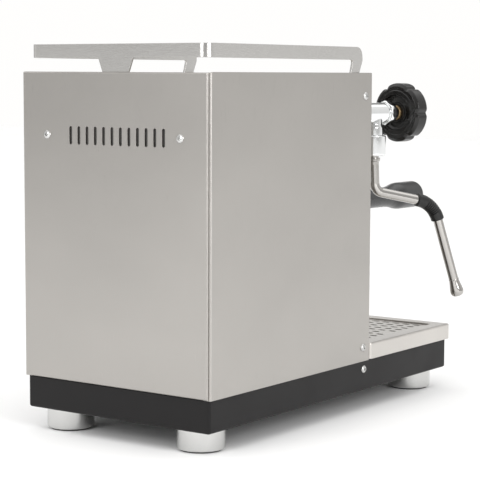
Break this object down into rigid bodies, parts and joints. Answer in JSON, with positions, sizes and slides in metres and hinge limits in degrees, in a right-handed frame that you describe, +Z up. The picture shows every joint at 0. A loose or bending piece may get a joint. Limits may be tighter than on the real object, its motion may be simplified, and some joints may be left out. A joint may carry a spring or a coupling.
{
  "type": "espresso machine",
  "caption": "Compact box-shaped espresso machine with a brushed steel body on a black base, front brewing group, steam wand with knob, drip tray and cup rail on top.",
  "frame": {"origin": "on the floor, under the centre of the whole object's bounding box", "axes": "+Z up, front with the brewing group towards -Y, rear cover towards +Y, +X to the right seen from the front"},
  "size_m": [0.2402, 0.5216, 0.347],
  "materials": {
    "base_paint": "satin black powder coat",
    "inner_steel": "plain zinc-plated sheet",
    "black_rubber": "matt",
    "foot_aluminium": "turned and satin polished",
    "cover_steel": "fine brushed grain",
    "rail_steel": "brushed flat strip with bright edges",
    "screw_steel": "bright pan head",
    "tank_plastic": "translucent moulding",
    "pump_enamel": "dark moulded coil and lacquered core",
    "black_moulding": "fine moulded texture",
    "boiler_brass": "cast and machined",
    "polished_chrome": "bright plating",
    "polished_steel": "polished stainless steel",
    "spindle_brass": "turned",
    "seat_polymer": "white fluoropolymer",
    "grip_black": "semi-gloss moulding",
    "sleeve_rubber": "ribbed heat sleeve",
    "dial_face": "white printed dial",
    "needle_paint": "black",
    "clear_glass": "clear",
    "gloss_black": "gloss",
    "screen_glass": "dark display window",
    "hose_silicone": "translucent silicone",
    "pipe_copper": "copper tube"
  },
  "bodies": {
    "chassis": {"base_frame": "base_paint", "base_plate": "inner_steel", "cable_gland": "black_rubber", "feet": "foot_aluminium", "foot_pads": "black_rubber", "left_side_panel": "cover_steel", "right_side_panel": "cover_steel", "rear_panel": "cover_steel", "vent_plate": "inner_steel", "cover_screws": "screw_steel", "front_panel": "cover_steel", "top_plate": "cover_steel", "cup_rail": "rail_steel", "tank_shelf": "inner_steel", "vibration_pump": "pump_enamel", "pump_mounts": "black_rubber", "control_box": "black_moulding", "boiler_lower": "boiler_brass", "boiler_upper": "boiler_brass", "heating_element": "inner_steel", "group_bracket": "inner_steel", "solenoid_valve": "boiler_brass", "group_head": "polished_chrome", "group_gasket": "black_rubber", "shower_screen": "polished_steel", "valve_body": "polished_chrome", "packing_nut": "polished_chrome", "ball_nut": "polished_chrome", "gauge_case": "polished_chrome", "gauge_dial": "dial_face", "gauge_glass": "clear_glass", "display_bezel": "gloss_black", "display_screen": "screen_glass", "switch_frames": "black_moulding", "suction_hose": "hose_silicone", "pressure_pipe": "seat_polymer", "steam_pipe": "pipe_copper", "drain_tube": "polished_steel"},
    "water_tank": {"water_tank": "tank_plastic"},
    "tank_lid": {"tank_lid": "cover_steel"},
    "pump_piston": {"pump_piston": "inner_steel"},
    "portafilter": {"portafilter_body": "polished_chrome", "filter_basket": "polished_steel", "double_spout": "polished_chrome", "handle_ferrule": "polished_chrome", "handle_grip": "grip_black"},
    "steam_knob": {"steam_knob": "grip_black", "valve_spindle": "spindle_brass"},
    "wand_seat": {"ball_seat": "seat_polymer"},
    "steam_wand": {"wand_pipe": "polished_steel", "wand_sleeve": "sleeve_rubber", "steam_tip": "polished_steel"},
    "drip_tray": {"drip_tray": "cover_steel"},
    "drip_grid": {"drip_grid": "cover_steel"},
    "gauge_needle": {"gauge_needle": "needle_paint"},
    "up_button": {"up_button": "gloss_black"},
    "down_button": {"down_button": "gloss_black"},
    "power_rocker": {"power_rocker": "gloss_black"},
    "brew_rocker": {"brew_rocker": "gloss_black"},
    "steam_rocker": {"steam_rocker": "gloss_black"}
  },
  "joints": [
    {"name": "steam_knob_turn", "type": "hinge", "parent": "chassis", "child": "steam_knob", "pos_m": [-0.064, -0.044, 0.284], "axis": [-0.1736, -0.9848, 0], "range_deg": [0, 360]},
    {"name": "wand_swing", "type": "hinge", "parent": "chassis", "child": "wand_seat", "pos_m": [-0.064, -0.044, 0.25], "axis": [0, 0, -1], "range_deg": [-45, 60]},
    {"name": "wand_tilt", "type": "hinge", "parent": "wand_seat", "child": "steam_wand", "pos_m": [-0.064, -0.044, 0.25], "axis": [-0.866, 0.5, 0], "range_deg": [-12, 12]},
    {"name": "portafilter_turn", "type": "hinge", "parent": "chassis", "child": "portafilter", "pos_m": [0.014, -0.07, 0.189], "axis": [0, 0, -1], "range_deg": [0, 45]},
    {"name": "drip_tray_slide", "type": "slide", "parent": "chassis", "child": "drip_tray", "axis": [0, -1, 0], "range_m": [0, 0.155]},
    {"name": "drip_grid_lift", "type": "slide", "parent": "drip_tray", "child": "drip_grid", "axis": [0, 0, 1], "range_m": [0, 0.05]},
    {"name": "tank_lift", "type": "slide", "parent": "chassis", "child": "water_tank", "axis": [0, 0, 1], "range_m": [0, 0.25]},
    {"name": "tank_lid_lift", "type": "slide", "parent": "water_tank", "child": "tank_lid", "axis": [0, 0, 1], "range_m": [0, 0.06]},
    {"name": "pump_stroke", "type": "slide", "parent": "chassis", "child": "pump_piston", "axis": [1, 0, 0], "range_m": [-0.003, 0.003], "stiffness_N_per_m": 2000},
    {"name": "gauge_swing", "type": "hinge", "parent": "chassis", "child": "gauge_needle", "pos_m": [0.08, 0.0018, 0.284], "axis": [0, 1, 0], "range_deg": [0, 270], "stiffness_Nm_per_rad": 0.001},
    {"name": "up_button_press", "type": "slide", "parent": "chassis", "child": "up_button", "axis": [0, 1, 0], "range_m": [0, 0.001], "stiffness_N_per_m": 400},
    {"name": "down_button_press", "type": "slide", "parent": "chassis", "child": "down_button", "axis": [0, 1, 0], "range_m": [0, 0.001], "stiffness_N_per_m": 400},
    {"name": "power_rocker_tip", "type": "hinge", "parent": "chassis", "child": "power_rocker", "pos_m": [0.067, 0.003, 0.232], "axis": [-1, 0, 0], "range_deg": [0, 14]},
    {"name": "brew_rocker_tip", "type": "hinge", "parent": "chassis", "child": "brew_rocker", "pos_m": [0.085, 0.003, 0.232], "axis": [-1, 0, 0], "range_deg": [0, 14]},
    {"name": "steam_rocker_tip", "type": "hinge", "parent": "chassis", "child": "steam_rocker", "pos_m": [0.103, 0.003, 0.232], "axis": [-1, 0, 0], "range_deg": [0, 14]}
  ]
}
